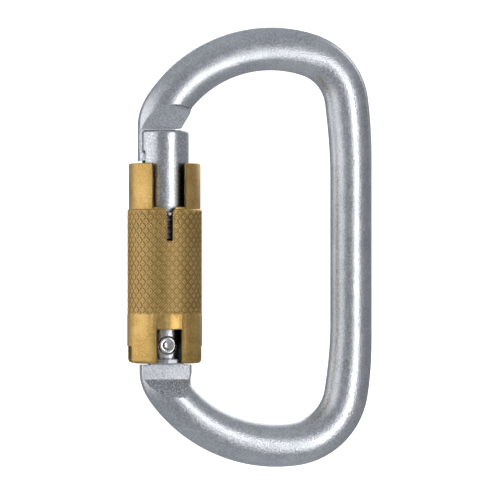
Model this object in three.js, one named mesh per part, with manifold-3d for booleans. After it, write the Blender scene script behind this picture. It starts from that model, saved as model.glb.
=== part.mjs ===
// A steel D-shaped connector with a twist-and-lift locking sleeve on its gate.
//
// Millimetres, +Z up. The connector hangs from the inside of its top bend, and that point is the origin.
// The spine is on the +X side, the gate on the -X side, and the whole outline lies in the XZ plane.
// Heights that belong to the gate are counted from the hinge pin's centre.

import * as THREE from "three";
import { mergeVertices } from "three/addons/utils/BufferGeometryUtils.js";
import Module from "manifold-3d";

const wasm = await Module();
wasm.setup();

// ---------------------------------------------------------------- driving dimensions

const SPINE_X = 18.85;
const GATE_X = -28.4;
const HINGE_Z = -68.45;
const GATE_OPENING = THREE.MathUtils.degToRad(27);
const SLEEVE_LIFT = 5.8;
const QUARTER_TURN = Math.PI / 2;

// The bar: round, pressed a little wider in the bends and wider still at its two ends.
const BAR_HALF_THICKNESS = 5.2;
const SPINE_HALF_WIDTH = 5.2;
const BEND_HALF_WIDTH = 5.4;
const NOSE_HALF_WIDTH = 6.65;
const HINGE_HALF_WIDTH = 6.5;
const SPINE_TOP_Z = -26.5;
const SPINE_BOTTOM_Z = -63.4;
// Radius and angle in degrees of each arc, from the spine outwards.
const TOP_ARCS = [
  [152, 7.2],
  [13.9, 65.4],
  [31.5, 67.2],
  [12.6, 40.2],
];
const BOTTOM_ARCS = [
  [113.4, 8.7],
  [15.3, 74],
  [34, 56.2],
  [10.4, 41.1],
];

// The gate: a turned pin with a thick head and a thinner neck.
const GATE_TOP = 53.35;
const GATE_BOTTOM = -4.8;
const HEAD_RADIUS = 6;
const HEAD_BOTTOM = 33.1;
const NECK_RADIUS = 5;
const HEAD_EDGE = 0.7;

// The nose of the bar: a tongue with a T-shaped head, held by a T-shaped slot in the gate.
const SHOULDER_HEIGHT = 53.8;
const NOSE_FLAT = 2.2;
const TONGUE_HALF_THICKNESS = 1.6;
const TEE_HALF_THICKNESS = 2.6;
const TEE_TOP = 47.8;
// The head's underside is an arc about the hinge pin, so the gate swings past it.
const TEE_BOTTOM_RADIUS = 46.15;
const TONGUE_REACH = 2.5;
const SLOT_PLAY = 0.25;

// The hinge end of the bar: a flat plate with a cam-shaped end between the gate's cheeks.
const PLATE_HALF_THICKNESS = 2.5;
const PLATE_FOOT = -8.55;
const PLATE_SHOULDER = -4.95;
const PIN_RADIUS = 1.75;
const PIN_PLAY = 0.06;
const PIN_HEAD_RADIUS = 2.3;
const PIN_HEAD_SEAT = 4.25;
const PIN_HEAD_FACE = 5.15;
const CAM_RADIUS = 3.9;
const CAM_RISE = 0.9;
const CAM_RIGHT = 4.5;

// The plunger and its spring, inside the gate.
const HINGE_SLOT_TOP = 6.4;
const SPRING_BORE_RADIUS = 2;
const SPRING_BORE_TOP = 24;
const PLUNGER_RADIUS = 1.8;
const PLUNGER_TIP = CAM_RADIUS + 0.5;
const PLUNGER_TOP = 10.5;

// The sleeve.
const SLEEVE_TOP = 45.2;
const SLEEVE_BOTTOM = -4.55;
const TOP_COLLAR_RADIUS = 8.95;
const GRIP_RADIUS = 9.25;
const BOTTOM_COLLAR_RADIUS = 9.35;
const GRIP_TOP = 33.45;
const GRIP_BOTTOM = 7.7;
const BORE_RADIUS = 7;
const LOWER_BORE_RADIUS = 6.6;
const WASHER_BOTTOM = 5.9;
const WASHER_TOP = 7.9;
const NOSE_SLOT_HALF_WIDTH = 4;
const NOSE_SLOT_BOTTOM = 34.3;
const TANG_SLOT_HALF_WIDTH = 0.75;
const TANG_SLOT_BOTTOM = 25.85;
const PIN_WINDOW_HALF_WIDTH = 3.1;
const PIN_WINDOW_TOP = 3.95;
const NOTCH_HALF_WIDTH = 3.25;
const NOTCH_TOP = -0.25;

// The clip that the sleeve rests on.
const CLIP_TOP = -3.5;
const CLIP_BOTTOM = -4.4;
const CLIP_RADIUS = 6.8;
const CLIP_BORE = 4.8;
const CLIP_GAP_HALF_WIDTH = 3;

// The pin that guides the sleeve along its helical groove.
const GUIDE_HEIGHT = 40;
const GUIDE_RADIUS = 1;
const GUIDE_TIP = 7.55;
const GUIDE_ROOT = 3.4;
const GROOVE_RADIUS = 1.3;

const ROUND_SIDES = 40;
const BAR_SIDES = 24;
const FAR = 20;

// ---------------------------------------------------------------- solids

// A three.js geometry as a manifold-3d solid.
function solid(geometry) {
  const bare = new THREE.BufferGeometry();
  bare.setAttribute("position", geometry.getAttribute("position"));
  if (geometry.index) bare.setIndex(geometry.index);
  const merged = mergeVertices(bare, 1e-4);
  return new wasm.Manifold(
    new wasm.Mesh({
      numProp: 3,
      vertProperties: new Float32Array(merged.attributes.position.array),
      triVerts: new Uint32Array(merged.index.array),
    }),
  );
}

function geometryOf(made) {
  const mesh = made.getMesh();
  const geometry = new THREE.BufferGeometry();
  geometry.setAttribute("position", new THREE.BufferAttribute(mesh.vertProperties, 3));
  geometry.setIndex(new THREE.BufferAttribute(mesh.triVerts, 1));
  geometry.computeVertexNormals();
  return geometry;
}

function box(low, high) {
  const [x, y, z] = low.map((value, axis) => high[axis] - value);
  const middle = low.map((value, axis) => (value + high[axis]) / 2);
  return solid(new THREE.BoxGeometry(x, y, z).translate(...middle));
}

// A round bar along Z between two heights.
function upright(radius, bottom, top, sides = ROUND_SIDES) {
  const geometry = new THREE.CylinderGeometry(radius, radius, top - bottom, sides);
  return solid(geometry.rotateX(QUARTER_TURN).translate(0, 0, (bottom + top) / 2));
}

// A round bar along Y, at a place in the XZ plane.
function crosswise(radius, near, far, x = 0, z = 0, sides = ROUND_SIDES) {
  const geometry = new THREE.CylinderGeometry(radius, radius, far - near, sides);
  return solid(geometry.translate(x, (near + far) / 2, z));
}

// A solid of revolution about Z from [radius, height] points, which start and end on the axis or close.
function turned(points, sides = ROUND_SIDES) {
  const profile = points.map(([radius, height]) => new THREE.Vector2(radius, height));
  return solid(new THREE.LatheGeometry(profile, sides).rotateX(QUARTER_TURN));
}

// An outline in the XZ plane, as thick as given on both sides of it.
function plate(shape, halfThickness, curveSegments = 12) {
  const geometry = new THREE.ExtrudeGeometry(shape, {
    depth: 2 * halfThickness,
    bevelEnabled: false,
    curveSegments,
  });
  return solid(geometry.rotateX(QUARTER_TURN).translate(0, halfThickness, 0));
}

function swept(path, radius, sides, steps) {
  const section = new THREE.Shape();
  section.setFromPoints(
    Array.from({ length: sides }, (_, i) => {
      const angle = (2 * Math.PI * i) / sides;
      return new THREE.Vector2(radius * Math.cos(angle), radius * Math.sin(angle));
    }),
  );
  return solid(new THREE.ExtrudeGeometry(section, { steps, bevelEnabled: false, extrudePath: path }));
}

// Puts a solid that was made around the hinge pin's centre in its place.
function onGate(made) {
  return made.translate([GATE_X, 0, HINGE_Z]);
}

// ---------------------------------------------------------------- the bar

// The bar's centre line, one station for each step, from the nose over the top, down the spine and round
// to the hinge. A station holds its place, the direction across the bar in its plane, and the half width there.
function barStations() {
  const half = (arcs, startZ, up, endHeight, endHalfWidth) => {
    const stations = [];
    let [x, z, heading] = [SPINE_X, startZ, up * QUARTER_TURN];
    let width = SPINE_HALF_WIDTH;
    arcs.forEach(([radius, degrees], index) => {
      const turn = up * THREE.MathUtils.degToRad(degrees);
      const steps = Math.max(2, Math.ceil(degrees / 6));
      const nextWidth = index === arcs.length - 1 ? endHalfWidth : BEND_HALF_WIDTH;
      const centre = [x - up * radius * Math.sin(heading), z + up * radius * Math.cos(heading)];
      for (let i = 1; i <= steps; i++) {
        const angle = heading + (turn * i) / steps;
        stations.push({
          x: centre[0] + up * radius * Math.sin(angle),
          z: centre[1] - up * radius * Math.cos(angle),
          across: [up * Math.sin(angle), -up * Math.cos(angle)],
          halfWidth: THREE.MathUtils.lerp(width, nextWidth, THREE.MathUtils.smoothstep(i / steps, 0, 1)),
        });
      }
      ({ x, z } = stations.at(-1));
      heading += turn;
      width = nextWidth;
    });
    stations.push({ ...stations.at(-1), z: HINGE_Z + endHeight });
    return stations;
  };
  const top = half(TOP_ARCS, SPINE_TOP_Z, 1, TEE_BOTTOM_RADIUS - 1.5, NOSE_HALF_WIDTH);
  const bottom = half(BOTTOM_ARCS, SPINE_BOTTOM_Z, -1, PLATE_SHOULDER, HINGE_HALF_WIDTH);
  const spine = [SPINE_TOP_Z, SPINE_BOTTOM_Z].map((z) => ({
    x: SPINE_X,
    z,
    across: [1, 0],
    halfWidth: SPINE_HALF_WIDTH,
  }));
  return [...top.reverse(), ...spine, ...bottom];
}

// A cylinder with a ring of vertices at each station, bent along the centre line.
function bentBar() {
  const stations = barStations();
  const geometry = new THREE.CylinderGeometry(1, 1, 1, BAR_SIDES, stations.length - 1);
  const position = geometry.getAttribute("position");
  for (let i = 0; i < position.count; i++) {
    const station = stations[Math.round((0.5 - position.getY(i)) * (stations.length - 1))];
    const across = position.getX(i) * station.halfWidth;
    position.setXYZ(
      i,
      station.x + across * station.across[0],
      -position.getZ(i) * BAR_HALF_THICKNESS,
      station.z + across * station.across[1],
    );
  }
  return solid(geometry);
}

// Everything that the milling cutter takes off the nose, around the hinge pin's centre.
function noseCuts() {
  const cuts = [];
  const cutterRadius = 8.3;
  const [cutterX, cutterHeight] = [1.85, 51.45];
  for (const side of [-1, 1]) {
    const [near, far] = side < 0 ? [-FAR, -NOSE_FLAT] : [NOSE_FLAT, FAR];
    cuts.push(crosswise(cutterRadius, near, far, cutterX, cutterHeight));
    cuts.push(box([cutterX - cutterRadius, near, TEE_TOP], [FAR / 2, far, cutterHeight]));
    const [beside, away] = side < 0 ? [-FAR, -TONGUE_HALF_THICKNESS] : [TONGUE_HALF_THICKNESS, FAR];
    cuts.push(box([-FAR / 2, beside, TEE_TOP], [FAR / 2, away, SHOULDER_HEIGHT]));
    const [headNear, headFar] = side < 0 ? [-FAR, -TEE_HALF_THICKNESS] : [TEE_HALF_THICKNESS, FAR];
    cuts.push(box([-FAR / 2, headNear, 40], [FAR / 2, headFar, TEE_TOP]));
  }
  cuts.push(box([TONGUE_REACH, -FAR, 40], [FAR / 2, FAR, SHOULDER_HEIGHT]));
  const underside = crosswise(TEE_BOTTOM_RADIUS, -FAR, FAR, 0, 0, 360);
  cuts.push(underside.intersect(box([-FAR / 2, -FAR, 40], [FAR / 2, FAR, 48])));
  return cuts;
}

// The slope on the nose's inner side, which leaves the gate's head room to swing in.
function noseSlope() {
  const slope = new THREE.Shape();
  slope.moveTo(3.55, SHOULDER_HEIGHT - 0.5);
  slope.lineTo(6.15, 57.6);
  slope.lineTo(8.5, 60);
  slope.lineTo(FAR / 2, SHOULDER_HEIGHT - 0.5);
  return plate(slope, FAR / 2);
}

// The two flats at the hinge end, each with a slope that runs out to the bar's round surface.
function hingeFlats() {
  return [-1, 1].map((side) => {
    const flat = new THREE.Shape();
    flat.moveTo(side * PLATE_HALF_THICKNESS, 0);
    flat.lineTo(side * PLATE_HALF_THICKNESS, PLATE_FOOT);
    flat.lineTo(side * 5.9, -14.1);
    flat.lineTo(side * 9, -14.1);
    flat.lineTo(side * 9, 0);
    const geometry = new THREE.ExtrudeGeometry(flat, { depth: FAR, bevelEnabled: false });
    return solid(geometry.rotateX(QUARTER_TURN).rotateZ(QUARTER_TURN).translate(-FAR / 2, 0, 0));
  });
}

// The plate's end between the gate's cheeks. Its radius grows to the right of the upright, so that it lifts
// the plunger.
function hingeTongue() {
  const outline = new THREE.Shape();
  outline.moveTo(-CAM_RADIUS, PLATE_SHOULDER - 1);
  outline.lineTo(-CAM_RADIUS, 0);
  outline.absarc(0, 0, CAM_RADIUS, Math.PI, QUARTER_TURN, true);
  const camSteps = 5;
  for (let i = 1; i <= camSteps; i++) {
    const turn = (GATE_OPENING * i) / camSteps;
    const radius = CAM_RADIUS + (CAM_RISE * i) / camSteps;
    outline.lineTo(radius * Math.sin(turn), radius * Math.cos(turn));
  }
  outline.quadraticCurveTo(CAM_RIGHT, 3.4, CAM_RIGHT, 0.5);
  outline.lineTo(CAM_RIGHT, PLATE_SHOULDER - 1);
  return plate(outline, PLATE_HALF_THICKNESS);
}

function frame() {
  let made = bentBar();
  for (const cut of [...noseCuts(), noseSlope(), ...hingeFlats()]) made = made.subtract(onGate(cut));
  made = made.add(onGate(hingeTongue()));
  const pinHole = crosswise(PIN_RADIUS + PIN_PLAY, -FAR, FAR, 0, 0, 24);
  return made.subtract(onGate(pinHole));
}

// ---------------------------------------------------------------- the gate and what is fixed in it

function gate() {
  let made = turned([
    [0, GATE_BOTTOM],
    [NECK_RADIUS - 0.3, GATE_BOTTOM],
    [NECK_RADIUS, GATE_BOTTOM + 0.3],
    [NECK_RADIUS, CLIP_BOTTOM - 0.05],
    [CLIP_BORE - 0.05, CLIP_BOTTOM - 0.05],
    [CLIP_BORE - 0.05, CLIP_TOP + 0.05],
    [NECK_RADIUS, CLIP_TOP + 0.05],
    [NECK_RADIUS, HEAD_BOTTOM],
    [HEAD_RADIUS, HEAD_BOTTOM],
    [HEAD_RADIUS, GATE_TOP - HEAD_EDGE],
    [HEAD_RADIUS - 0.3 * HEAD_EDGE, GATE_TOP - 0.3 * HEAD_EDGE],
    [HEAD_RADIUS - HEAD_EDGE, GATE_TOP],
    [0, GATE_TOP],
  ]);
  const slotHalf = TONGUE_HALF_THICKNESS + SLOT_PLAY;
  const teeHalf = TEE_HALF_THICKNESS + SLOT_PLAY;
  const teeFloor = 45.05;
  const slotEnd = TONGUE_REACH + 0.5;
  const cheekHalf = PLATE_HALF_THICKNESS + 0.2;
  const cuts = [
    box([-FAR, -slotHalf, TEE_TOP], [slotEnd, slotHalf, FAR + GATE_TOP]),
    box([-FAR, -teeHalf, teeFloor], [slotEnd, teeHalf, TEE_TOP + 0.5]),
    box([-FAR, -cheekHalf, -FAR], [FAR, cheekHalf, HINGE_SLOT_TOP]),
    upright(SPRING_BORE_RADIUS, 0, SPRING_BORE_TOP, 24),
    crosswise(PIN_RADIUS + PIN_PLAY, -FAR, FAR, 0, 0, 24),
    crosswise(PIN_HEAD_RADIUS + PIN_PLAY, -FAR, -PIN_HEAD_SEAT, 0, 0, 24),
    crosswise(PIN_HEAD_RADIUS + PIN_PLAY, PIN_HEAD_SEAT, FAR, 0, 0, 24),
    crosswise(GUIDE_RADIUS + PIN_PLAY, GUIDE_ROOT - 0.2, FAR, 0, GUIDE_HEIGHT, 16),
  ];
  for (const cut of cuts) made = made.subtract(cut);
  return onGate(made);
}

// Riveted over at both ends, with the dimple that the riveting punch leaves.
function hingePin() {
  const seat = PIN_HEAD_SEAT + 0.05;
  const rim = PIN_HEAD_FACE - 0.35;
  const half = [
    [PIN_RADIUS, seat],
    [PIN_HEAD_RADIUS, seat],
    [PIN_HEAD_RADIUS, rim],
    [PIN_HEAD_RADIUS - 0.5, PIN_HEAD_FACE],
    [1.1, PIN_HEAD_FACE],
    [0.7, PIN_HEAD_FACE - 0.4],
    [0, PIN_HEAD_FACE - 0.4],
  ];
  const other = half.map(([radius, height]) => [radius, -height]).reverse();
  return onGate(turned([...other, ...half], 24).rotate([90, 0, 0]));
}

function guidePin() {
  return onGate(crosswise(GUIDE_RADIUS, GUIDE_ROOT, GUIDE_TIP, 0, GUIDE_HEIGHT, 16));
}

// A flat ring, open on the inner side where the hinge plate swings through it.
function retainingClip() {
  const ring = upright(CLIP_RADIUS, CLIP_BOTTOM, CLIP_TOP).subtract(upright(CLIP_BORE, -FAR, FAR));
  return onGate(ring.subtract(box([0, -CLIP_GAP_HALF_WIDTH, -FAR], [FAR, CLIP_GAP_HALF_WIDTH, FAR])));
}

// ---------------------------------------------------------------- the plunger and the springs

function gatePlunger() {
  return onGate(
    turned(
      [
        [0, PLUNGER_TIP],
        [0.8, PLUNGER_TIP + 0.2],
        [1.45, PLUNGER_TIP + 0.75],
        [PLUNGER_RADIUS, PLUNGER_TIP + 1.6],
        [PLUNGER_RADIUS, PLUNGER_TOP - 2.5],
        [1.05, PLUNGER_TOP - 2.5],
        [1.05, PLUNGER_TOP],
        [0, PLUNGER_TOP],
      ],
      24,
    ),
  );
}

// A helix about Z with a flat turn at each end. An outward tang can follow its last turn.
class Coil extends THREE.Curve {
  constructor(radius, bottom, top, turns) {
    super();
    Object.assign(this, { radius, bottom, top, turns });
  }

  getPoint(t, target = new THREE.Vector3()) {
    const turn = t * this.turns;
    const rise = THREE.MathUtils.clamp((turn - 1) / (this.turns - 2), 0, 1);
    const angle = 2 * Math.PI * turn - QUARTER_TURN;
    const height = THREE.MathUtils.lerp(this.bottom, this.top, rise);
    return target.set(this.radius * Math.cos(angle), this.radius * Math.sin(angle), height);
  }
}

const GATE_SPRING = { radius: 1.45, wire: 0.28, turns: 11 };
const LOCK_SPRING = { radius: 5.75, wire: 0.4, turns: 18 };

function gateSpring() {
  const { radius, wire, turns } = GATE_SPRING;
  const coil = new Coil(radius, PLUNGER_TOP - 2.5 + wire + 0.05, SPRING_BORE_TOP - wire - 0.1, turns);
  return onGate(swept(coil, wire, 6, turns * 10));
}

// Its top end is bent outwards and stands in the sleeve's narrow slot.
function lockingSpring() {
  const { radius, wire, turns } = LOCK_SPRING;
  const tangHeight = HEAD_BOTTOM - wire - 0.15;
  const coil = new Coil(radius, WASHER_TOP + wire + 0.1, tangHeight, turns);
  const tangEnd = 8.7;
  const tang = crosswise(wire, -tangEnd, -radius, 0, tangHeight, 8);
  return onGate(swept(coil, wire, 6, turns * 12).add(tang));
}

// ---------------------------------------------------------------- the sleeve

// The guide pin's way along the sleeve's inner wall, from the back to the outer side, as the sleeve turns
// and lifts.
class GuideGroove extends THREE.Curve {
  getPoint(t, target = new THREE.Vector3()) {
    const overrun = 0.13;
    const share = THREE.MathUtils.lerp(-overrun, 1 + overrun, t);
    const angle = QUARTER_TURN * (1 + share);
    const height = GUIDE_HEIGHT - SLEEVE_LIFT * share;
    return target.set(BORE_RADIUS * Math.cos(angle), BORE_RADIUS * Math.sin(angle), height);
  }
}

function sleeve() {
  const outside = [
    [0, SLEEVE_BOTTOM],
    [BOTTOM_COLLAR_RADIUS - 0.9, SLEEVE_BOTTOM],
    [BOTTOM_COLLAR_RADIUS - 0.25, SLEEVE_BOTTOM + 0.25],
    [BOTTOM_COLLAR_RADIUS, SLEEVE_BOTTOM + 0.9],
    [BOTTOM_COLLAR_RADIUS, GRIP_BOTTOM],
    [GRIP_RADIUS, GRIP_BOTTOM],
    [GRIP_RADIUS, GRIP_TOP],
    [TOP_COLLAR_RADIUS, GRIP_TOP],
    [TOP_COLLAR_RADIUS, SLEEVE_TOP - 0.4],
    [TOP_COLLAR_RADIUS - 0.4, SLEEVE_TOP],
    [0, SLEEVE_TOP],
  ];
  const shelf = CLIP_TOP + 0.15;
  const cuts = [
    upright(LOWER_BORE_RADIUS, -FAR, WASHER_BOTTOM + 1),
    upright(BORE_RADIUS, -FAR, shelf),
    upright(BORE_RADIUS, WASHER_BOTTOM, FAR + SLEEVE_TOP),
    box([-NOSE_SLOT_HALF_WIDTH, -FAR, NOSE_SLOT_BOTTOM], [NOSE_SLOT_HALF_WIDTH, 0, FAR + SLEEVE_TOP]),
    box([-TANG_SLOT_HALF_WIDTH, -FAR, TANG_SLOT_BOTTOM], [TANG_SLOT_HALF_WIDTH, 0, FAR + SLEEVE_TOP]),
    box([-PIN_WINDOW_HALF_WIDTH, -FAR, -FAR], [PIN_WINDOW_HALF_WIDTH, 0, PIN_WINDOW_TOP]),
    box([-FAR, -NOTCH_HALF_WIDTH, -FAR], [FAR, NOTCH_HALF_WIDTH, NOTCH_TOP]),
    swept(new GuideGroove(), GROOVE_RADIUS, 16, 16),
  ];
  let made = turned(outside, 48);
  for (const cut of cuts) made = made.subtract(cut);
  return onGate(made);
}

// The washer between the sleeve's inner shoulder and the locking spring. It lifts with the sleeve and
// doesn't turn.
function springSeatWasher() {
  const ring = upright(BORE_RADIUS - 0.15, WASHER_BOTTOM + 0.05, WASHER_TOP);
  return onGate(ring.subtract(upright(NECK_RADIUS + 0.15, -FAR, FAR)));
}

// ---------------------------------------------------------------- materials and assembly

const zincPlate = { color: 0xa3a8ae, roughness: 0.34, metalness: 1 };
const finishes = {
  frame: { ...zincPlate },
  gate: { color: 0xb4b8bc, roughness: 0.28, metalness: 1 },
  hinge_pin: { color: 0xc4c7ca, roughness: 0.25, metalness: 1 },
  guide_pin: { color: 0xc4c7ca, roughness: 0.25, metalness: 1 },
  retaining_clip: { color: 0x8d939a, roughness: 0.4, metalness: 1 },
  gate_plunger: { color: 0x9a9da1, roughness: 0.4, metalness: 1 },
  gate_spring: { color: 0x8f9296, roughness: 0.35, metalness: 1 },
  locking_spring: { color: 0x8f9296, roughness: 0.35, metalness: 1 },
  sleeve: { color: 0xc0974a, roughness: 0.45, metalness: 1 },
  spring_seat_washer: { color: 0x8d939a, roughness: 0.45, metalness: 1 },
};

function part(name, made) {
  const mesh = new THREE.Mesh(geometryOf(made), new THREE.MeshStandardMaterial(finishes[name]));
  mesh.name = name;
  return mesh;
}

function group(...members) {
  const made = new THREE.Group();
  made.add(...members);
  return made;
}

const sleeveGroup = group(part("sleeve", sleeve()), part("locking_spring", lockingSpring()));
const gateGroup = group(
  part("gate", gate()),
  part("hinge_pin", hingePin()),
  part("guide_pin", guidePin()),
  part("retaining_clip", retainingClip()),
  part("gate_plunger", gatePlunger()),
  part("gate_spring", gateSpring()),
  part("spring_seat_washer", springSeatWasher()),
  sleeveGroup,
);

export default group(part("frame", frame()), gateGroup);
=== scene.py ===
import math

import bmesh
import bpy
from mathutils import Matrix, Vector


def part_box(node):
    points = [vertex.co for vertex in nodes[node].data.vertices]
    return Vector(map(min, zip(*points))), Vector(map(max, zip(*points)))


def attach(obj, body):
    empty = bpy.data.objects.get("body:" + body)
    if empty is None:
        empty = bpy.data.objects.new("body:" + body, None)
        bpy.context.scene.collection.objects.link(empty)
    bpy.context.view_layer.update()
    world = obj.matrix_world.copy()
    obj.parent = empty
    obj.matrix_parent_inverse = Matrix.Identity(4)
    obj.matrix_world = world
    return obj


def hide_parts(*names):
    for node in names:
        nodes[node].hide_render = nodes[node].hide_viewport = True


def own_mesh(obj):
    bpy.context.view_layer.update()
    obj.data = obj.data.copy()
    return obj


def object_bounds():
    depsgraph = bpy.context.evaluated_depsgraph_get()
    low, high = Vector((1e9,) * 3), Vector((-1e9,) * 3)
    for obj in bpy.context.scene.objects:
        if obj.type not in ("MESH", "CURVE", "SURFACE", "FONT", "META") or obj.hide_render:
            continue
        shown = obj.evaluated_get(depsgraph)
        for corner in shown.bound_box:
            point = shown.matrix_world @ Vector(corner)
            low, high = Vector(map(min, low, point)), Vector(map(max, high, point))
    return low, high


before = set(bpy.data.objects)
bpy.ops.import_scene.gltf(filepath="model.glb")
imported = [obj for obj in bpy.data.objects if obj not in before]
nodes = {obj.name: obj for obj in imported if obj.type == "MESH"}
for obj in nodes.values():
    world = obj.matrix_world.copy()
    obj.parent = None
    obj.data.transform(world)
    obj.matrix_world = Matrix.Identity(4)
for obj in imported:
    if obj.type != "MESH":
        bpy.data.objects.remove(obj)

cad_low, cad_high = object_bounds()

# ------------------------------------------------------------------ studio
# The connector hangs in front of a white cove, lit by a tall narrow panel close on the right, a wide soft
# one on the left and one high up behind. The cove is for the camera only: the metal mirrors the panels and
# a dim room.

mm = 0.001
middle = (cad_low + cad_high) / 2
camera_distance = 1.0
field_height = 125.0 * mm
camera_turn = math.radians(-9.5)
look_below_middle = 0.75 * mm
look_at = middle + Vector((0.0, 0.0, -look_below_middle))
camera_data = bpy.data.cameras.new("camera")
camera = bpy.data.objects.new("camera", camera_data)
bpy.context.scene.collection.objects.link(camera)
away = Vector((math.sin(camera_turn), -math.cos(camera_turn), 0.0))
camera.location = look_at + away * camera_distance
camera.rotation_euler = (-away).to_track_quat("-Z", "Y").to_euler()
camera_data.sensor_width = 36.0
camera_data.lens = camera_data.sensor_width * camera_distance / field_height
camera_data.clip_start = 0.01
camera_data.clip_end = 20.0
bpy.context.scene.camera = camera


def deselect_all():
    if bpy.context.object and bpy.context.object.mode != "OBJECT":
        bpy.ops.object.mode_set(mode="OBJECT")
    bpy.ops.object.select_all(action="DESELECT")


def make_active(piece):
    deselect_all()
    piece.select_set(True)
    bpy.context.view_layer.objects.active = piece


def pick(piece, wanted, kind):
    """Selects, in edit mode, the edges or vertices of a piece that a test of their place wants."""
    make_active(piece)
    bpy.ops.object.mode_set(mode="EDIT")
    bpy.ops.mesh.select_mode(type=kind)
    bpy.ops.mesh.select_all(action="DESELECT")
    shape = bmesh.from_edit_mesh(piece.data)
    if kind == "EDGE":
        for edge in shape.edges:
            edge.select_set(wanted(edge.verts[0].co, edge.verts[1].co))
    else:
        for vertex in shape.verts:
            vertex.select_set(wanted(vertex.co))
    shape.select_flush_mode()
    bmesh.update_edit_mesh(piece.data)


cove_y, cove_floor_z = 0.55, -0.19
cove_width, cove_depth = 6.0, 2.2
cove_curve = ((0.1, 0.24), (0.24, 0.1), (1.6, 0.0))
bpy.ops.mesh.primitive_plane_add(size=1.0, location=(middle.x, cove_y, cove_floor_z))
cove = bpy.context.object
cove.name = "cove"
cove.scale = (cove_width, cove_depth, 1.0)
bpy.ops.object.transform_apply(location=False, rotation=False, scale=True)
pick(cove, lambda a, b: min(a.y, b.y) > 0.99 * cove_depth / 2, "EDGE")
for rise, back in cove_curve:
    bpy.ops.mesh.extrude_region_move(TRANSFORM_OT_translate={"value": (0.0, back, rise)})
bpy.ops.object.mode_set(mode="OBJECT")
bpy.ops.object.shade_smooth()
white, off_white = (1.0, 1.0, 1.0, 1.0), (0.9, 0.9, 0.9, 1.0)
cove_paint = bpy.data.materials.new("cove paint")
cove_paint.use_nodes = True
cove_shader = cove_paint.node_tree.nodes["Principled BSDF"]
cove_shader.inputs["Base Color"].default_value = off_white
cove_shader.inputs["Roughness"].default_value = 0.9
cove_shader.inputs["Emission Color"].default_value = white
cove_shader.inputs["Emission Strength"].default_value = 1.0
cove.data.materials.append(cove_paint)
cove.visible_glossy = False
cove.visible_diffuse = False

# The room is darker at eye level than above and below.
room_grey = (0.44, 0.455, 0.485, 1.0)
room_fade = (("From Min", 0.25), ("From Max", 0.95), ("To Min", 0.68), ("To Max", 1.15))
world = bpy.data.worlds.new("room")
bpy.context.scene.world = world
world.use_nodes = True
room = world.node_tree
room_nodes, room_links = room.nodes, room.links
background = room_nodes["Background"]
background.inputs["Color"].default_value = room_grey
way = room_nodes.new("ShaderNodeTexCoord")
way_parts = room_nodes.new("ShaderNodeSeparateXYZ")
steepness = room_nodes.new("ShaderNodeMath")
steepness.operation = "ABSOLUTE"
room_light = room_nodes.new("ShaderNodeMapRange")
for socket, value in room_fade:
    room_light.inputs[socket].default_value = value
room_links.new(way.outputs["Generated"], way_parts.inputs[0])
room_links.new(way_parts.outputs["Z"], steepness.inputs[0])
room_links.new(steepness.outputs[0], room_light.inputs["Value"])
room_links.new(room_light.outputs[0], background.inputs["Strength"])
white_back = room_nodes.new("ShaderNodeBackground")
white_back.inputs["Color"].default_value = white
light_path = room_nodes.new("ShaderNodeLightPath")
choose = room_nodes.new("ShaderNodeMixShader")
room_links.new(light_path.outputs["Is Camera Ray"], choose.inputs["Fac"])
room_links.new(background.outputs["Background"], choose.inputs[1])
room_links.new(white_back.outputs["Background"], choose.inputs[2])
room_links.new(choose.outputs["Shader"], room_nodes["World Output"].inputs["Surface"])


def panel(name, turn, rise, distance, width, height, power):
    """A soft panel, so many degrees to the camera's right and above it, that faces the connector."""
    data = bpy.data.lights.new(name, "AREA")
    data.shape = "RECTANGLE"
    data.size, data.size_y = width, height
    data.energy = power
    lamp = bpy.data.objects.new(name, data)
    bpy.context.scene.collection.objects.link(lamp)
    turn = camera_turn + math.radians(turn)
    rise = math.radians(rise)
    towards = Vector((math.sin(turn) * math.cos(rise), -math.cos(turn) * math.cos(rise), math.sin(rise)))
    lamp.location = middle + towards * distance
    lamp.rotation_euler = (-towards).to_track_quat("-Z", "Y").to_euler()


panel("panel_right", 33.0, -6.0, 0.55, 0.15, 0.5, 1.3)
panel("panel_left", -78.0, 5.0, 0.6, 0.95, 0.7, 2.3)
panel("panel_back", 165.0, 25.0, 0.9, 0.9, 0.6, 3.0)
bpy.context.scene.view_settings.view_transform = "Standard"

# ------------------------------------------------------------------ frame
# One forging of round steel bar, bent into a D and pressed a little flat on its outer side, then blasted
# and zinc plated. Its nose is milled to a T that hooks into the gate. Its other end is flat for the hinge.

gate_low, gate_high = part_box("gate")
axis_x = (gate_low.x + gate_high.x) / 2
hinge_low, hinge_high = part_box("hinge_pin")
hinge_z = (hinge_low.z + hinge_high.z) / 2

# Heights are counted from the hinge pin's middle, apart from the spine's.
bar_radius = 5.2 * mm
bend_half_width = 5.4 * mm
nose_half_width = 6.65 * mm
foot_half_width = 6.5 * mm
bar_sides = 96
spine_x = 18.85 * mm
spine_top = -26.5 * mm
spine_foot = -63.4 * mm
spine_rings = 12
# Each bend is its radius in millimetres and its degrees.
top_bends = ((152.0, 7.2), (13.9, 65.4), (31.5, 67.2), (12.6, 40.2))
foot_bends = ((113.4, 8.7), (15.3, 74.0), (34.0, 56.2), (10.4, 41.1))
bend_step = 2.0
wide_bend = 30 * mm
tee_foot_radius = 46.15 * mm
shoulder_z = 53.8 * mm
tee_top_z = 47.8 * mm
nose_flat = 2.2 * mm
tongue_half = 1.6 * mm
tee_half = 2.6 * mm
tongue_reach = 2.5 * mm
plate_half = 2.5 * mm
plate_foot_z = -8.55 * mm
plate_shoulder_z = -4.95 * mm
pin_bore = 1.81 * mm
nose_spare = 1.5 * mm
far = 20.0 * mm
weld = 0.001 * mm


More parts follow.
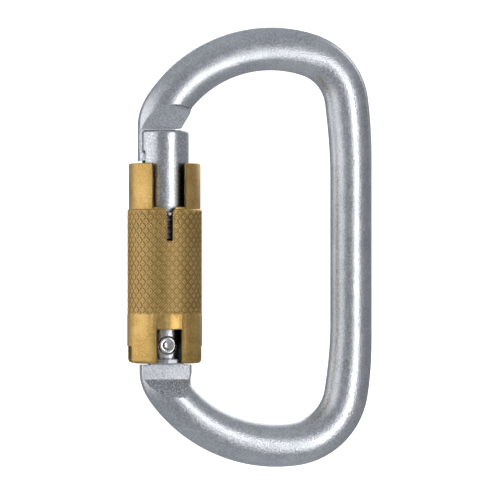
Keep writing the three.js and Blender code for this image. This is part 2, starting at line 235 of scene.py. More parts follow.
def bend_the_bar(start_z, bends, up, end_z):
    """Spins the open end of the bar round each bend in turn, and then draws it straight to a height."""
    x, z, heading = spine_x, start_z, up * math.pi / 2
    for radius, degrees in bends:
        radius = radius * mm
        centre = Vector((x - up * radius * math.sin(heading), 0.0, z + up * radius * math.cos(heading)))
        turn = math.radians(degrees)
        bpy.ops.mesh.spin(
            steps=max(2, round(degrees / bend_step * max(1.0, radius / wide_bend) ** 0.5)),
            angle=up * turn,
            center=centre,
            axis=(0.0, 1.0, 0.0),
        )
        heading += up * turn
        x = centre.x + up * radius * math.sin(heading)
        z = centre.z - up * radius * math.cos(heading)
    bpy.ops.mesh.extrude_region_move(TRANSFORM_OT_translate={"value": (0.0, 0.0, end_z - z)})
    bpy.ops.mesh.edge_face_add()


deselect_all()
bpy.ops.mesh.primitive_circle_add(vertices=bar_sides, radius=bar_radius, location=(spine_x, 0.0, spine_top))
bar = bpy.context.object
bar.name = "bent_bar"
bpy.ops.object.transform_apply(location=True, rotation=True, scale=True)
bpy.ops.object.mode_set(mode="EDIT")
bpy.ops.mesh.select_all(action="SELECT")
bend_the_bar(spine_top, top_bends, 1, hinge_z + tee_foot_radius - nose_spare)
pick(bar, lambda co: abs(co.z - spine_top) < 0.01 * mm and co.x > 0, "VERT")
for _ in range(spine_rings):
    drop = (spine_foot - spine_top) / spine_rings
    bpy.ops.mesh.extrude_region_move(TRANSFORM_OT_translate={"value": (0.0, 0.0, drop)})
bend_the_bar(spine_foot, foot_bends, -1, hinge_z + plate_shoulder_z)
bpy.ops.mesh.select_all(action="SELECT")
bpy.ops.mesh.remove_doubles(threshold=weld)
bpy.ops.mesh.normals_make_consistent(inside=False)
bpy.ops.object.mode_set(mode="OBJECT")


def centre_line():
    """The bar's middle from nose to hinge: points, with the way across and the half width at each."""
    steps = 24
    run_on = 12 * mm

    def half(start_z, bends, up, last_width):
        x, z, heading, width = spine_x, start_z, up * math.pi / 2, bar_radius
        line = [(Vector((x, 0.0, z)), Vector((1.0, 0.0, 0.0)), width)]
        for number, (radius, degrees) in enumerate(bends):
            radius = radius * mm
            centre = Vector((x - up * radius * math.sin(heading), 0.0, z + up * radius * math.cos(heading)))
            next_width = last_width if number == len(bends) - 1 else bend_half_width
            for step in range(1, steps + 1):
                angle = heading + up * math.radians(degrees) * step / steps
                across = Vector((up * math.sin(angle), 0.0, -up * math.cos(angle)))
                ease = step / steps
                ease = ease * ease * (3 - 2 * ease)
                line.append((centre + across * radius, across, width + (next_width - width) * ease))
            heading += up * math.radians(degrees)
            x, z, width = line[-1][0].x, line[-1][0].z, next_width
        line.append((Vector((x, 0.0, z - up * run_on)), line[-1][1], width))
        return line

    upper = half(spine_top, top_bends, 1, nose_half_width)
    lower = half(spine_foot, foot_bends, -1, foot_half_width)
    return upper[::-1] + lower


def nearest_station(point, line):
    """The centre line's nearest place to a point: where it is, the way across, and the half width."""
    best = None
    for (a, a_across, a_width), (b, b_across, b_width) in zip(line, line[1:]):
        along = b - a
        share = 0.0 if along.length_squared == 0 else (point - a).dot(along) / along.length_squared
        share = min(1.0, max(0.0, share))
        here = a + along * share
        gap = Vector((point.x - here.x, 0.0, point.z - here.z)).length
        if best is None or gap < best[0]:
            across = (a_across * (1 - share) + b_across * share).normalized()
            best = (gap, here, across, a_width * (1 - share) + b_width * share)
    return best[1:]


# The forging dies leave the outer side a little flat, with a small step on both sides of it in the bends.
line = centre_line()
outer_flat = 0.9
flat_give = 0.3
crown_shift = 0.15
crown_from = 0.8
step_from = 0.79
step_share = 0.07
for vertex in bar.data.vertices:
    here, across, width = nearest_station(vertex.co, line)
    reach = (vertex.co - here).dot(across)
    offset = reach / bar_radius
    bent = min(1.0, (width - bar_radius) / (bend_half_width - bar_radius))
    if offset > step_from:
        vertex.co.y *= 1.0 - step_share * bent
    limit = 1.0 - (1.0 - outer_flat) * bent
    if offset > limit:
        offset = limit + (offset - limit) * flat_give
    if offset > 0:
        offset /= limit + (1.0 - limit) * flat_give
    # At the top the crown lies nearer to the inner side.
    crown = crown_shift * max(0.0, across.z - crown_from) / (1.0 - crown_from)
    vertex.co += across * ((offset - crown * (1.0 - offset * offset)) * width - reach)


def apply_modifiers(piece):
    make_active(piece)
    for modifier in list(piece.modifiers):
        bpy.ops.object.modifier_apply(modifier=modifier.name)


def cut(piece, cutter, how="DIFFERENCE"):
    """Cuts a piece with another object, or joins it on, and throws the other object away."""
    made = piece.modifiers.new("cut", "BOOLEAN")
    made.operation = how
    made.solver = "EXACT"
    made.object = cutter
    apply_modifiers(piece)
    bpy.data.objects.remove(cutter, do_unlink=True)


def block(low, high):
    """A box cutter between two corners, counted from the hinge pin's middle."""
    low, high = Vector(low), Vector(high)
    place = (low + high) / 2 + Vector((axis_x, 0.0, hinge_z))
    deselect_all()
    bpy.ops.mesh.primitive_cube_add(size=1.0, location=place)
    made = bpy.context.object
    made.scale = high - low
    bpy.ops.object.transform_apply(location=True, rotation=True, scale=True)
    return made


def round_cutter(radius, length, place, direction="Y", sides=128):
    """A cylinder cutter along Y or Z, with its middle counted from the hinge pin's middle."""
    deselect_all()
    bpy.ops.mesh.primitive_cylinder_add(
        vertices=sides,
        radius=radius,
        depth=length,
        location=Vector(place) + Vector((axis_x, 0.0, hinge_z)),
        rotation=(math.pi / 2 if direction == "Y" else 0.0, 0.0, 0.0),
    )
    made = bpy.context.object
    bpy.ops.object.transform_apply(location=True, rotation=True, scale=True)
    return made


def prism(outline, half, along="Y"):
    """A cutter with its outline in the XZ plane, or in the YZ plane, and as thick on both sides of it."""
    points = []
    for side, up in outline:
        points.append((side, -half, up) if along == "Y" else (-half, side, up))
    data = bpy.data.meshes.new("prism")
    data.from_pydata([Vector(p) + Vector((axis_x, 0.0, hinge_z)) for p in points], [], [range(len(points))])
    made = bpy.data.objects.new("prism", data)
    bpy.context.scene.collection.objects.link(made)
    make_active(made)
    bpy.ops.object.mode_set(mode="EDIT")
    bpy.ops.mesh.select_all(action="SELECT")
    move = (0.0, 2 * half, 0.0) if along == "Y" else (2 * half, 0.0, 0.0)
    bpy.ops.mesh.extrude_region_move(TRANSFORM_OT_translate={"value": move})
    bpy.ops.mesh.select_all(action="SELECT")
    bpy.ops.mesh.normals_make_consistent(inside=False)
    bpy.ops.object.mode_set(mode="OBJECT")
    return made


# The nose. A cutter on each side leaves the flat, whose end has the cutter's own round.
mill_radius = 8.3 * mm
mill_x, mill_z = 1.85 * mm, 51.45 * mm
beside_nose = 10 * mm
below_nose = 40 * mm
tee_sweep = 14
below_tee, beside_tee = 30 * mm, 12 * mm
for side in (-1, 1):
    depth = far - nose_flat
    cut(bar, round_cutter(mill_radius, depth, (mill_x, side * (nose_flat + depth / 2), mill_z)))
    for reach, half, foot, top in (
        (mill_x - mill_radius, nose_flat, tee_top_z, mill_z),
        (-beside_nose, tongue_half, tee_top_z, shoulder_z),
        (-beside_nose, tee_half, below_nose, tee_top_z),
    ):
        near_y, far_y = sorted((side * half, side * far))
        cut(bar, block((reach, near_y, foot), (beside_nose, far_y, top)))
cut(bar, block((tongue_reach, -far, below_nose), (beside_nose, far, shoulder_z)))
arc = [
    (tee_foot_radius * math.sin(math.radians(a)), tee_foot_radius * math.cos(math.radians(a)))
    for a in range(-tee_sweep, tee_sweep + 1)
]
cut(bar, prism([(-beside_tee, below_tee)] + arc + [(beside_tee, below_tee)], far))
# Beside the nose, the bend's underside is milled off on a slope.
slope = ((3.55, 53.3), (6.15, 57.6), (8.5, 60.0), (10.0, 53.3))
cut(bar, prism([(x * mm, z * mm) for x, z in slope], far))

# The hinge plate. Its flats run out to the round bar on a slope.
run_out_z = -14.1 * mm
ramp_end = 5.9 * mm
beside_plate, above_plate = 9 * mm, 3 * mm
for side in (-1, 1):
    outline = [
        (side * plate_half, above_plate),
        (side * plate_half, plate_foot_z),
        (side * ramp_end, run_out_z),
        (side * beside_plate, run_out_z),
        (side * beside_plate, above_plate),
    ]
    cut(bar, prism(outline, far, along="X"))
# Above it the plate's end is a cam, whose radius grows as the gate swings past.
cam_radius, cam_rise, cam_steps = 3.9 * mm, 0.9 * mm, 9
gate_swing = math.radians(27.0)
cam_nose = ((3.35, 3.83), (4.0, 3.05), (4.38, 2.0), (4.5, 0.5))
tongue_foot = plate_shoulder_z - 1 * mm
tongue = [(-cam_radius, tongue_foot)]
for degrees in range(180, 89, -5):
    turn = math.radians(degrees)
    tongue.append((cam_radius * math.cos(turn), cam_radius * math.sin(turn)))
for step in range(1, cam_steps + 1):
    turn = gate_swing * step / cam_steps
    reach = cam_radius + cam_rise * step / cam_steps
    tongue.append((reach * math.sin(turn), reach * math.cos(turn)))
tongue += [(x * mm, z * mm) for x, z in cam_nose]
tongue.append((cam_nose[-1][0] * mm, tongue_foot))
cut(bar, prism(tongue, plate_half), "UNION")
cut(bar, round_cutter(pin_bore, 2 * far, (0.0, 0.0, 0.0), sides=48))


smooth_angle = math.radians(40.0)


def finish_edges(piece, width, angle=32.0):
    """Breaks a piece's sharp edges and shades it smooth."""
    rounding = piece.modifiers.new("edges", "BEVEL")
    rounding.width = width
    rounding.segments = 2
    rounding.limit_method = "ANGLE"
    rounding.angle_limit = math.radians(angle)
    rounding.miter_outer = "MITER_ARC"
    apply_modifiers(piece)
    make_active(piece)
    bpy.ops.object.shade_smooth_by_angle(angle=smooth_angle)
    level = piece.modifiers.new("level flats", "WEIGHTED_NORMAL")
    level.keep_sharp = True
    level.weight = 80
    apply_modifiers(piece)


sliver, frame_edge = 0.02 * mm, 0.18 * mm
make_active(bar)
bpy.ops.object.mode_set(mode="EDIT")
bpy.ops.mesh.select_all(action="SELECT")
bpy.ops.mesh.remove_doubles(threshold=sliver)
bpy.ops.mesh.dissolve_degenerate(threshold=sliver / 2)
bpy.ops.object.mode_set(mode="OBJECT")
finish_edges(bar, frame_edge)


class Knob:
    """A shader value that can be used in sums."""

    def __init__(self, tree, socket):
        self.tree, self.socket = tree, socket

    def _maths(self, operation, *others):
        terms = dict(enumerate((self, *others)))
        return self.tree.node("ShaderNodeMath", {"operation": operation}, terms)

    def __add__(self, other):
        return self._maths("ADD", other)

    def __sub__(self, other):
        return self._maths("SUBTRACT", other)

    def __rsub__(self, other):
        return self.tree.node("ShaderNodeMath", {"operation": "SUBTRACT"}, {0: other, 1: self})

    def __mul__(self, other):
        return self._maths("MULTIPLY", other)

    def power(self, other):
        return self._maths("POWER", other)

    def least(self, other):
        return self._maths("MINIMUM", other)

    def ping_pong(self, scale):
        return self._maths("PINGPONG", scale)

    def smooth(self, low, high):
        return self.tree.node(
            "ShaderNodeMapRange",
            {"interpolation_type": "SMOOTHSTEP"},
            {"Value": self, "From Min": low, "From Max": high},
        )

    __radd__, __rmul__ = __add__, __mul__


class Finish:
    """A material and the shader maths that feeds its one shader."""

    def __init__(self, name, **sockets):
        self.material = bpy.data.materials.new(name)
        self.material.use_nodes = True
        self.nodes = self.material.node_tree.nodes
        self.shader = self.nodes["Principled BSDF"]
        self.set(**sockets)

    def feed(self, node, key, value):
        if isinstance(value, Knob):
            self.material.node_tree.links.new(value.socket, node.inputs[key])
        else:
            node.inputs[key].default_value = value

    def node(self, kind, settings=(), sockets=(), output=0):
        made = self.nodes.new(kind)
        for key, value in dict(settings).items():
            if key == "stops":
                ramp = made.color_ramp
                while len(ramp.elements) < len(value):
                    ramp.elements.new(0.5)
                for element, (place, colour) in zip(ramp.elements, value):
                    element.position = place
                    element.color = colour
            else:
                setattr(made, key, value)
        for key, value in dict(sockets).items():
            self.feed(made, key, value)
        return Knob(self, made.outputs[output])

    def place(self):
        """Where a point is, in millimetres."""
        here = self.node("ShaderNodeTexCoord", output="Object")
        return self.node("ShaderNodeVectorMath", {"operation": "SCALE"}, {0: here, "Scale": 1.0 / mm})

    def noise(self, scale, detail, roughness):
        return self.node(
            "ShaderNodeTexNoise",
            {},
            {"Vector": self.place(), "Scale": scale, "Detail": detail, "Roughness": roughness},
        )

    def blend(self, share, one, other):
        return self.node("ShaderNodeMix", {"data_type": "RGBA"}, {0: share, 6: one, 7: other}, output=2)

    def bump(self, height, distance, over=None):
        sockets = {"Height": height, "Distance": distance}
        if over is not None:
            sockets["Normal"] = over
        return self.node("ShaderNodeBump", {}, sockets)

    def set(self, **sockets):
        for key, value in sockets.items():
            self.feed(self.shader, key.replace("_", " ").title(), value)


def put_on(piece, material, body=None):
    """Gives a piece its material, and a new piece the body that carries it."""
    piece.data.materials.clear()
    piece.data.materials.append(material)
    if body:
        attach(piece, body)


# Blasted and zinc plated: a fine grain under a satin plate, small dark pits, and faint cloudy patches.
plate = Finish("zinc plated steel", metallic=1.0)
grain = plate.noise(2.3, 2.0, 0.6)
clouds = plate.noise(0.16, 3.0, 0.55)
pits = plate.noise(1.7, 2.0, 0.5).smooth(0.66, 0.76)
zinc_grey, zinc_pale = (0.44, 0.46, 0.49, 1), (0.55, 0.57, 0.595, 1)
pit_grey, grain_pale = (0.17, 0.18, 0.20, 1), (0.85, 0.87, 0.89, 1)
shade = plate.blend(clouds.smooth(0.3, 0.7), zinc_grey, zinc_pale)
shade = plate.blend(pits * 0.55, shade, pit_grey)
shade = plate.blend(grain.smooth(0.42, 0.62) * 0.42, shade, grain_pale)
relief = plate.bump(grain, 0.06 * mm)
relief = plate.bump(pits, -0.03 * mm, over=relief)
plate.set(base_color=shade, roughness=grain.smooth(0.2, 0.8) * 0.14 + 0.30, normal=relief)
put_on(bar, plate.material, "frame")
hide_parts("frame")

# The milled faces keep the cutter's coarse, dull grain under the plate, and the slopes stay rougher still.
milled = Finish("milled faces", metallic=1.0)
tooth = milled.noise(4.0, 3.0, 0.7)
milled_dark, milled_grey = (0.18, 0.19, 0.21, 1), (0.42, 0.44, 0.47, 1)
milled_shade = milled.blend(tooth.smooth(0.3, 0.7), milled_dark, milled_grey)
milled.set(base_color=milled_shade, roughness=0.45, normal=milled.bump(tooth, 0.05 * mm))
bar.data.materials.append(milled.material)
rough_cut = Finish("rough slopes", metallic=1.0)
tooth = rough_cut.noise(3.4, 3.0, 0.7)
rough_dark, rough_pale = (0.22, 0.24, 0.26, 1), (0.85, 0.87, 0.9, 1)
rough_shade = rough_cut.blend(tooth.smooth(0.35, 0.65), rough_dark, rough_pale)
rough_cut.set(base_color=rough_shade, roughness=0.5, normal=rough_cut.bump(tooth, 0.1 * mm))
bar.data.materials.append(rough_cut.material)
on_plane = 0.03 * mm
nose_reach, ramp_reach = 9 * mm, 12 * mm
slope_y, slope_z = ramp_end - plate_half, run_out_z - plate_foot_z
for face in bar.data.polygons:
    up = face.center.z - hinge_z
    beside = face.center.x - axis_x
    depth = abs(face.center.y)
    flat = abs(face.normal.y) > 0.6 and abs(depth - nose_flat) < on_plane
    off_ramp = (depth - plate_half) * slope_z - (up - plate_foot_z) * slope_y
    ramp = abs(off_ramp) < on_plane * math.hypot(slope_y, slope_z) and run_out_z < up < plate_foot_z
    if flat and up > tee_top_z and beside < nose_reach:
        face.material_index = 1
    elif ramp and abs(beside) < ramp_reach:
        face.material_index = 2

# ------------------------------------------------------------------ gate
# A turned steel pin, zinc plated and brighter than the bar, with a slot for the T-shaped nose in its thick
# head and a slot for the hinge plate in its thin end. The sleeve turns and slides on it.

gate_top = 53.35 * mm
gate_foot = -4.8 * mm
head_radius = 6.0 * mm
neck_radius = 5.0 * mm
head_foot = 33.1 * mm
clip_top, clip_foot = -3.5 * mm, -4.4 * mm
clip_groove, clip_play = 4.75 * mm, 0.05 * mm


def turned(name, profile, steps=96):
    """Spins a profile of radii and heights, which starts and ends on the gate's axis, into a solid."""
    data = bpy.data.meshes.new(name)
    points = [(axis_x + radius, 0.0, hinge_z + height) for radius, height in profile]
    data.from_pydata(points, [(i, i + 1) for i in range(len(points) - 1)], [])
    made = bpy.data.objects.new(name, data)
    bpy.context.scene.collection.objects.link(made)
    make_active(made)
    bpy.ops.object.mode_set(mode="EDIT")
    bpy.ops.mesh.select_all(action="SELECT")
    bpy.ops.mesh.spin(steps=steps, angle=2 * math.pi, center=(axis_x, 0.0, hinge_z), axis=(0.0, 0.0, 1.0))
    bpy.ops.mesh.select_all(action="SELECT")
    bpy.ops.mesh.remove_doubles(threshold=weld)
    bpy.ops.mesh.normals_make_consistent(inside=False)
    bpy.ops.object.mode_set(mode="OBJECT")
    return made


gate = turned(
    "turned_gate",
    [
        (0.0, gate_foot),
        (neck_radius - 0.3 * mm, gate_foot),
        (neck_radius, gate_foot + 0.3 * mm),
        (neck_radius, clip_foot - clip_play),
        (clip_groove, clip_foot - clip_play),
        (clip_groove, clip_top + clip_play),
        (neck_radius, clip_top + clip_play),
        (neck_radius, head_foot),
        (head_radius, head_foot),
        (head_radius, gate_top - 0.7 * mm),
        (head_radius - 0.07 * mm, gate_top - 0.4 * mm),
        (head_radius - 0.25 * mm, gate_top - 0.17 * mm),
        (head_radius - 0.5 * mm, gate_top - 0.03 * mm),
        (head_radius - 0.7 * mm, gate_top),
        (0.0, gate_top),
    ],
)
slot_play = 0.25 * mm
tee_floor = 45.05 * mm
slot_end = tongue_reach + 0.5 * mm
cheek = plate_half + 0.2 * mm
hinge_slot_top = 6.4 * mm
above_all = 80 * mm
plunger_bore, plunger_bore_middle = 2.0 * mm, 12.0 * mm
pin_seat, pin_seat_radius = 4.25 * mm, 2.36 * mm
guide_bore, guide_floor, guide_z = 1.06 * mm, 3.2 * mm, 40 * mm
for half, foot, top in (
    (tongue_half + slot_play, tee_top_z, above_all),
    (tee_half + slot_play, tee_floor, tee_top_z + 0.5 * mm),
):
    cut(gate, block((-far, -half, foot), (slot_end, half, top)))
cut(gate, block((-far, -cheek, -far), (far, cheek, hinge_slot_top)))
bore_middle = (0.0, 0.0, plunger_bore_middle)
cut(gate, round_cutter(plunger_bore, 2 * plunger_bore_middle, bore_middle, direction="Z", sides=48))
cut(gate, round_cutter(pin_bore, 2 * far, (0.0, 0.0, 0.0), sides=48))
for side in (-1, 1):
    seat_middle = (0.0, side * (pin_seat + far / 2), 0.0)
    cut(gate, round_cutter(pin_seat_radius, far, seat_middle, sides=48))
cut(gate, round_cutter(guide_bore, far, (0.0, guide_floor + far / 2, guide_z), sides=32))
finish_edges(gate, 0.12 * mm)

bright = Finish("bright plated steel", metallic=1.0)
speckle = bright.noise(2.3, 3.0, 0.7)
dull = bright.noise(0.3, 2.0, 0.5)
bright_shade = bright.blend(speckle.smooth(0.4, 0.7), zinc_grey, (0.76, 0.78, 0.80, 1))
bright_relief = bright.bump(speckle, 0.045 * mm)
bright.set(base_color=bright_shade, roughness=dull.smooth(0.3, 0.7) * 0.06 + 0.30, normal=bright_relief)
put_on(gate, bright.material, "gate")
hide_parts("gate")

# ------------------------------------------------------------------ hinge pin
# A polished steel rivet through the gate's cheeks and the hinge plate. Its ends are spread, and each has a
# punch mark in the middle.

# Radii and heights in millimetres, from the pin's middle out to the punch mark.
pin_half = [
    (1.75, 0.0),
    (1.75, 4.3),
    (2.3, 4.3),
    (2.3, 4.75),
    (2.2, 4.93),
    (2.0, 5.07),
    (1.7, 5.15),
    (1.35, 5.12),
    (1.1, 4.98),
    (0.85, 4.8),
    (0.45, 4.7),
    (0.0, 4.68),
]
full = [(r * mm, -z * mm) for r, z in reversed(pin_half)] + [(r * mm, z * mm) for r, z in pin_half]
pin = turned("hinge_rivet", full, steps=48)
make_active(pin)
bpy.ops.object.mode_set(mode="EDIT")
bpy.ops.mesh.select_all(action="SELECT")
bpy.ops.transform.rotate(
    value=math.pi / 2, orient_axis="X", center_override=(axis_x, 0.0, hinge_z), orient_type="GLOBAL"
)
bpy.ops.object.mode_set(mode="OBJECT")
finish_edges(pin, 0.08 * mm, angle=50.0)
polished = Finish("polished pin", metallic=1.0)
scuff = polished.noise(2.0, 2.0, 0.5)
pin_grey, pin_pale = (0.62, 0.63, 0.65, 1), (0.8, 0.8, 0.82, 1)
polished.set(
    base_color=polished.blend(scuff, pin_grey, pin_pale),
    roughness=scuff * 0.1 + 0.18,
    normal=polished.bump(scuff, 0.01 * mm),
)
put_on(pin, polished.material, "gate")
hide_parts("hinge_pin")

# ------------------------------------------------------------------ sleeve
# Turned from aluminium, knurled, slotted and anodised gold. Its front has a wide slot for the frame's nose,
# a narrow one below it for the spring's end, and a window at its foot over the hinge pin.

sleeve_top = 45.2 * mm
sleeve_foot = -4.55 * mm
top_collar = 8.95 * mm
grip_crest = 9.3 * mm
foot_collar = 9.35 * mm
grip_top = 33.45 * mm
grip_foot = 7.7 * mm
bore = 7.0 * mm
lower_bore = 6.6 * mm
shelf_top = 5.9 * mm
clip_room = 0.15 * mm
collar_step = 0.35 * mm
diamonds_round = 27
diamond_height = 2.3 * mm
cells = 10
knurl_depth = 0.34 * mm
run_out = 1.0 * mm
groove_share, pit_from, pit_share, pit_depth = 0.3, 0.36, 0.1, 0.5

columns = diamonds_round * cells
rows = round((grip_top - grip_foot) / diamond_height * cells)


def knurl(turn, up):
    """How deep the knurl is at a place: 1 in a groove, 0 on a diamond, and half way in its middle."""
    u, v = turn * diamonds_round / (2 * math.pi), up / diamond_height
    gap = min(abs((way + 0.5) % 1.0 - 0.5) for way in (u + v, u - v))
    groove = 1.0 - min(1.0, gap / groove_share)
    pit = min(1.0, max(0.0, (gap - pit_from) / pit_share))
    return max(groove, pit_depth * pit)


outside = [
    (0.0, sleeve_foot),
    (foot_collar - 1.1 * mm, sleeve_foot),
    (foot_collar - 0.75 * mm, sleeve_foot + 0.05 * mm),
    (foot_collar - 0.35 * mm, sleeve_foot + 0.25 * mm),
    (foot_collar - 0.1 * mm, sleeve_foot + 0.6 * mm),
    (foot_collar, sleeve_foot + 1.1 * mm),
    (foot_collar, grip_foot - collar_step),
]
grip_rows = [grip_foot + (grip_top - grip_foot) * i / rows for i in range(rows + 1)]
outside += [(grip_crest, height) for height in grip_rows]
outside += [
    (top_collar, grip_top + collar_step),
    (top_collar, sleeve_top - 0.45 * mm),
    (top_collar - 0.13 * mm, sleeve_top - 0.13 * mm),
    (top_collar - 0.45 * mm, sleeve_top),
    (0.0, sleeve_top),
]
sleeve = turned("knurled_sleeve", outside, steps=columns)
near = 0.01 * mm
for vertex in sleeve.data.vertices:
    side, depth = vertex.co.x - axis_x, vertex.co.y
    up = vertex.co.z - hinge_z
    radius = math.hypot(side, depth)
    if radius > top_collar - near and grip_foot - near < up < grip_top + near:
        # The knurling wheel runs out at both ends, so the knurl is shallower there.
        edge = min(up - grip_foot, grip_top - up) / run_out
        depth_here = knurl_depth * knurl(math.atan2(depth, side), up - grip_foot) * min(1.0, 0.35 + edge)
        scale = (grip_crest - depth_here) / radius
        vertex.co.x = axis_x + side * scale
        vertex.co.y = depth * scale

cut(sleeve, round_cutter(lower_bore, 4 * far, (0.0, 0.0, 0.0), direction="Z"))
cut(sleeve, round_cutter(bore, far, (0.0, 0.0, clip_top + clip_room - far / 2), direction="Z"))
cut(sleeve, round_cutter(bore, 3 * far, (0.0, 0.0, shelf_top + 1.5 * far), direction="Z"))
nose_slot, nose_slot_foot = 4.0 * mm, 34.3 * mm
window, window_top = 3.1 * mm, 3.95 * mm
notch, notch_top = 3.25 * mm, -0.25 * mm
cut(sleeve, block((-nose_slot, -far, nose_slot_foot), (nose_slot, 0.0, above_all)))
# The narrow slot flares out into the wide one.
tang_slot = [(-1.9, 34.5), (-0.75, 33.0), (-0.75, 25.85), (0.75, 25.85), (0.75, 33.0), (1.9, 34.5)]
tang_cutter = prism([(x * mm, z * mm) for x, z in tang_slot], far / 2)
tang_cutter.data.transform(Matrix.Translation((0.0, -far / 2, 0.0)))
cut(sleeve, tang_cutter)
cut(sleeve, block((-window, -far, -far), (window, 0.0, window_top)))
cut(sleeve, block((-far, -notch, -far), (far, notch, notch_top)))

# The guide pin's helical groove in the bore, from the back to the outer side.
groove_radius = 1.3 * mm
lift = 5.8 * mm
overrun, groove_steps, groove_sides = 0.13, 28, 16
ring = []
for i in range(groove_sides):
    turn = 2 * math.pi * i / groove_sides
    ring.append(
        Vector((0.0, bore + groove_radius * math.cos(turn), guide_z + groove_radius * math.sin(turn)))
    )
points, faces = [], []
for step in range(groove_steps + 1):
    share = -overrun + (1 + 2 * overrun) * step / groove_steps
    turn = Matrix.Rotation(math.pi / 2 * share, 4, "Z")
    points += [turn @ co + Vector((axis_x, 0.0, hinge_z - lift * share)) for co in ring]
for step in range(groove_steps):
    for i in range(groove_sides):
        a, b = step * groove_sides + i, step * groove_sides + (i + 1) % groove_sides
        faces.append((a, b, b + groove_sides, a + groove_sides))
faces.append(tuple(range(groove_sides)))
faces.append(tuple(range(len(points) - groove_sides, len(points)))[::-1])
groove_mesh = bpy.data.meshes.new("groove")
groove_mesh.from_pydata(points, [], faces)
groove = bpy.data.objects.new("groove", groove_mesh)
bpy.context.scene.collection.objects.link(groove)
make_active(groove)
bpy.ops.object.mode_set(mode="EDIT")
bpy.ops.mesh.select_all(action="SELECT")
bpy.ops.mesh.normals_make_consistent(inside=False)
bpy.ops.object.mode_set(mode="OBJECT")
cut(sleeve, groove)

outer_skin = 8.5 * mm
slot_bevel = 0.28 * mm


def on_a_slot(a, b):
    """Whether an edge is one of the outer edges of the nose's slot or of the window."""

    def beside(co, half, foot, top):
        side, up = abs(co.x - axis_x), co.z - hinge_z
        on_skin = co.y < 0 and math.hypot(side, co.y) > outer_skin
        return on_skin and side < half + near and foot - near < up < top + near

    for half, foot, top, sill in (
        (nose_slot, nose_slot_foot, sleeve_top, nose_slot_foot),
        (window, sleeve_foot, window_top, window_top),
    ):
        if all(beside(co, half, foot, top) for co in (a, b)):
            on_side = all(abs(abs(co.x - axis_x) - half) < near for co in (a, b))
            on_sill = all(abs(co.z - hinge_z - sill) < near for co in (a, b))
            if on_side or on_sill:
                return True
    return False


pick(sleeve, on_a_slot, "EDGE")
bpy.ops.mesh.bevel(offset=slot_bevel, segments=3, affect="EDGES")
bpy.ops.object.mode_set(mode="OBJECT")
make_active(sleeve)
bpy.ops.object.shade_smooth_by_angle(angle=math.radians(24.0))

gold = Finish("gold anodised aluminium", metallic=1.0)
dust = gold.noise(2.2, 2.0, 0.6)
tone = gold.noise(0.22, 3.0, 0.6)
pin_middle = (axis_x / mm, 0, hinge_z / mm)
from_axis = gold.node("ShaderNodeVectorMath", {"operation": "SUBTRACT"}, {0: gold.place(), 1: pin_middle})
side, depth, up = (gold.node("ShaderNodeSeparateXYZ", {}, {0: from_axis}, output=i) for i in range(3))
radius = (side * side + depth * depth).power(0.5)
# The knurl's finest marks: a thin ridge along each groove, a moat on both sides of it, and a pit on each
# diamond. Each mark is its place between a groove's middle and a diamond's middle, and its height.
knurl_marks = (
    (0.0, 0.55),
    (0.09, 0.5),
    (0.2, 0.0),
    (0.34, 0.1),
    (0.48, 1.0),
    (0.7, 1.0),
    (0.84, 0.35),
    (1.0, 0.1),
)
turn = gold.node("ShaderNodeMath", {"operation": "ARCTAN2"}, {0: depth, 1: side})
across = turn * (diamonds_round / (2 * math.pi))
along = (up - grip_foot / mm) * (mm / diamond_height)
way_one, way_two = (way.ping_pong(0.5) for way in (across + along, across - along))
gap = way_one.least(way_two) * 2.0
stops = [(place, (height, height, height, 1)) for place, height in knurl_marks]
marks = gold.node("ShaderNodeValToRGB", {"stops": stops}, {0: gap})
fade, skin_foot, skin_top = 0.4, 8.5, 8.8
in_grip = up.smooth(grip_foot / mm, grip_foot / mm + fade) * up.smooth(grip_top / mm, grip_top / mm - fade)
in_grip = in_grip * radius.smooth(skin_foot, skin_top)
gold_deep, gold_mid, gold_dust = (0.47, 0.28, 0.075, 1), (0.62, 0.40, 0.13, 1), (0.85, 0.64, 0.30, 1)
# Painted shade for the knurl's moats and pits, and a painted highlight for its diamonds' flat tops.
knurl_painted_shade, knurl_painted_highlight = (0.16, 0.09, 0.03, 1), (0.90, 0.66, 0.30, 1)
gold_shade = gold.blend(tone.smooth(0.3, 0.7), gold_deep, gold_mid)
gold_shade = gold.blend(dust.smooth(0.42, 0.65) * 0.35, gold_shade, gold_dust)
# Painted shade: the knurl's moats and pits are darkened by their low height.
gold_shade = gold.blend(in_grip * (1 - marks) * 0.45, gold_shade, knurl_painted_shade)
# Painted highlight: the diamonds' raised flat tops are lightened by their height.
gold_shade = gold.blend(in_grip * marks * 0.55, gold_shade, knurl_painted_highlight)
# Painted shade: inside the bore the colour is painted near black, as next to no light comes back out of it.
bore_painted_shade = (0.03, 0.03, 0.03, 1)
gold_shade = gold.blend(radius.smooth(7.2, 8.5), bore_painted_shade, gold_shade)
soft_edge = 0.12 * mm
gold_soft = gold.node("ShaderNodeBevel", {"samples": 6}, {"Radius": soft_edge})
gold_relief = gold.bump(dust, 0.05 * mm, over=gold_soft)
gold_relief = gold.bump(marks * in_grip, 0.22 * mm, over=gold_relief)
gold.set(base_color=gold_shade, roughness=dust.smooth(0.2, 0.8) * 0.12 + 0.36, normal=gold_relief)
put_on(sleeve, gold.material, "sleeve")
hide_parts("sleeve")

# ------------------------------------------------------------------ locking spring
# Steel wire wound inside the sleeve, round the gate's neck. Its top end is bent outwards and stands in the
# narrow slot.

coil_radius = 5.75 * mm
wire = 0.4 * mm
coil_turns = 18
coil_foot = 8.4 * mm
coil_top = head_foot - wire - 0.15 * mm
tang_reaches = (6.35 * mm, 7.15 * mm, 7.95 * mm, 8.7 * mm)


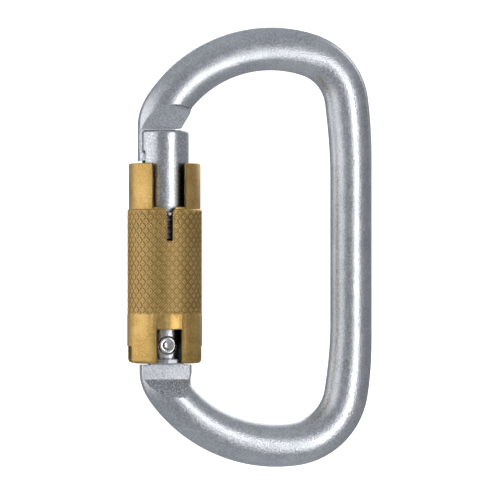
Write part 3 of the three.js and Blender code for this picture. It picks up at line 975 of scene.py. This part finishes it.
def wound(name, radius, wire, turns, foot, top, tang=()):
    """Winds a wire round the gate's axis, with a closed turn at each end, and may end it with a tang."""
    steps_a_turn = 36
    path = []
    for step in range(turns * steps_a_turn + 1):
        share = step / steps_a_turn
        rise = min(1.0, max(0.0, (share - 1) / (turns - 2)))
        angle = 2 * math.pi * share - math.pi / 2
        path.append((radius * math.cos(angle), radius * math.sin(angle), foot + (top - foot) * rise))
    path += tang
    curve = bpy.data.curves.new(name, "CURVE")
    curve.dimensions = "3D"
    spline = curve.splines.new("POLY")
    spline.points.add(len(path) - 1)
    for point, (x, y, z) in zip(spline.points, path):
        point.co = (axis_x + x, y, hinge_z + z, 1.0)
    curve.bevel_depth = wire
    curve.bevel_resolution = 2
    curve.use_fill_caps = True
    made = bpy.data.objects.new(name, curve)
    bpy.context.scene.collection.objects.link(made)
    make_active(made)
    bpy.ops.object.convert(target="MESH")
    bpy.ops.object.shade_smooth_by_angle(angle=smooth_angle)
    return bpy.context.object


tang = [(0.0, -reach, coil_top) for reach in tang_reaches]
coil = wound("wound_spring", coil_radius, wire, coil_turns, coil_foot, coil_top, tang)
drawn = Finish("drawn wire", metallic=1.0)
drag = drawn.noise(1.5, 3.0, 0.6)
wire_dark, wire_pale = (0.30, 0.30, 0.32, 1), (0.62, 0.63, 0.65, 1)
drawn.set(
    base_color=drawn.blend(drag.smooth(0.3, 0.7), wire_dark, wire_pale),
    roughness=drag * 0.15 + 0.24,
    normal=drawn.bump(drag, 0.01 * mm),
)
put_on(coil, drawn.material, "sleeve")
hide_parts("locking_spring")
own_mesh(coil)

# ------------------------------------------------------------------ gate spring
# A thin coil of steel wire in the gate's own bore. It presses the plunger on to the hinge plate's cam,
# which swings the gate shut.

thin_radius, thin_wire, thin_turns = 1.45 * mm, 0.28 * mm, 11
thin_foot, thin_top = 8.33 * mm, 23.62 * mm
thin_coil = wound("thin_spring", thin_radius, thin_wire, thin_turns, thin_foot, thin_top)
put_on(thin_coil, drawn.material, "gate")
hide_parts("gate_spring")
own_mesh(thin_coil)

# ------------------------------------------------------------------ small parts
# The retaining ring under the sleeve, the washer below the locking spring, the guide pin and the plunger
# are plain turned or stamped steel, and keep the shapes they come with.

ring_steel = Finish("ring steel", metallic=1.0)
ring_grain = ring_steel.noise(2.4, 3.0, 0.6)
ring_dark, ring_pale = (0.30, 0.32, 0.35, 1), (0.55, 0.57, 0.60, 1)
ring_steel.set(
    base_color=ring_steel.blend(ring_grain, ring_dark, ring_pale),
    roughness=ring_grain * 0.15 + 0.32,
    normal=ring_steel.bump(ring_grain, 0.02 * mm),
)
for name, finish, slot_name in (
    ("retaining_clip", ring_steel, "clip_steel"),
    ("spring_seat_washer", ring_steel, "clip_steel"),
    ("gate_plunger", ring_steel, "clip_steel"),
    ("guide_pin", polished, "pin_steel"),
):
    put_on(nodes[name], finish.material)
    make_active(nodes[name])
    bpy.ops.object.shade_smooth_by_angle(angle=math.radians(35.0))
deselect_all()
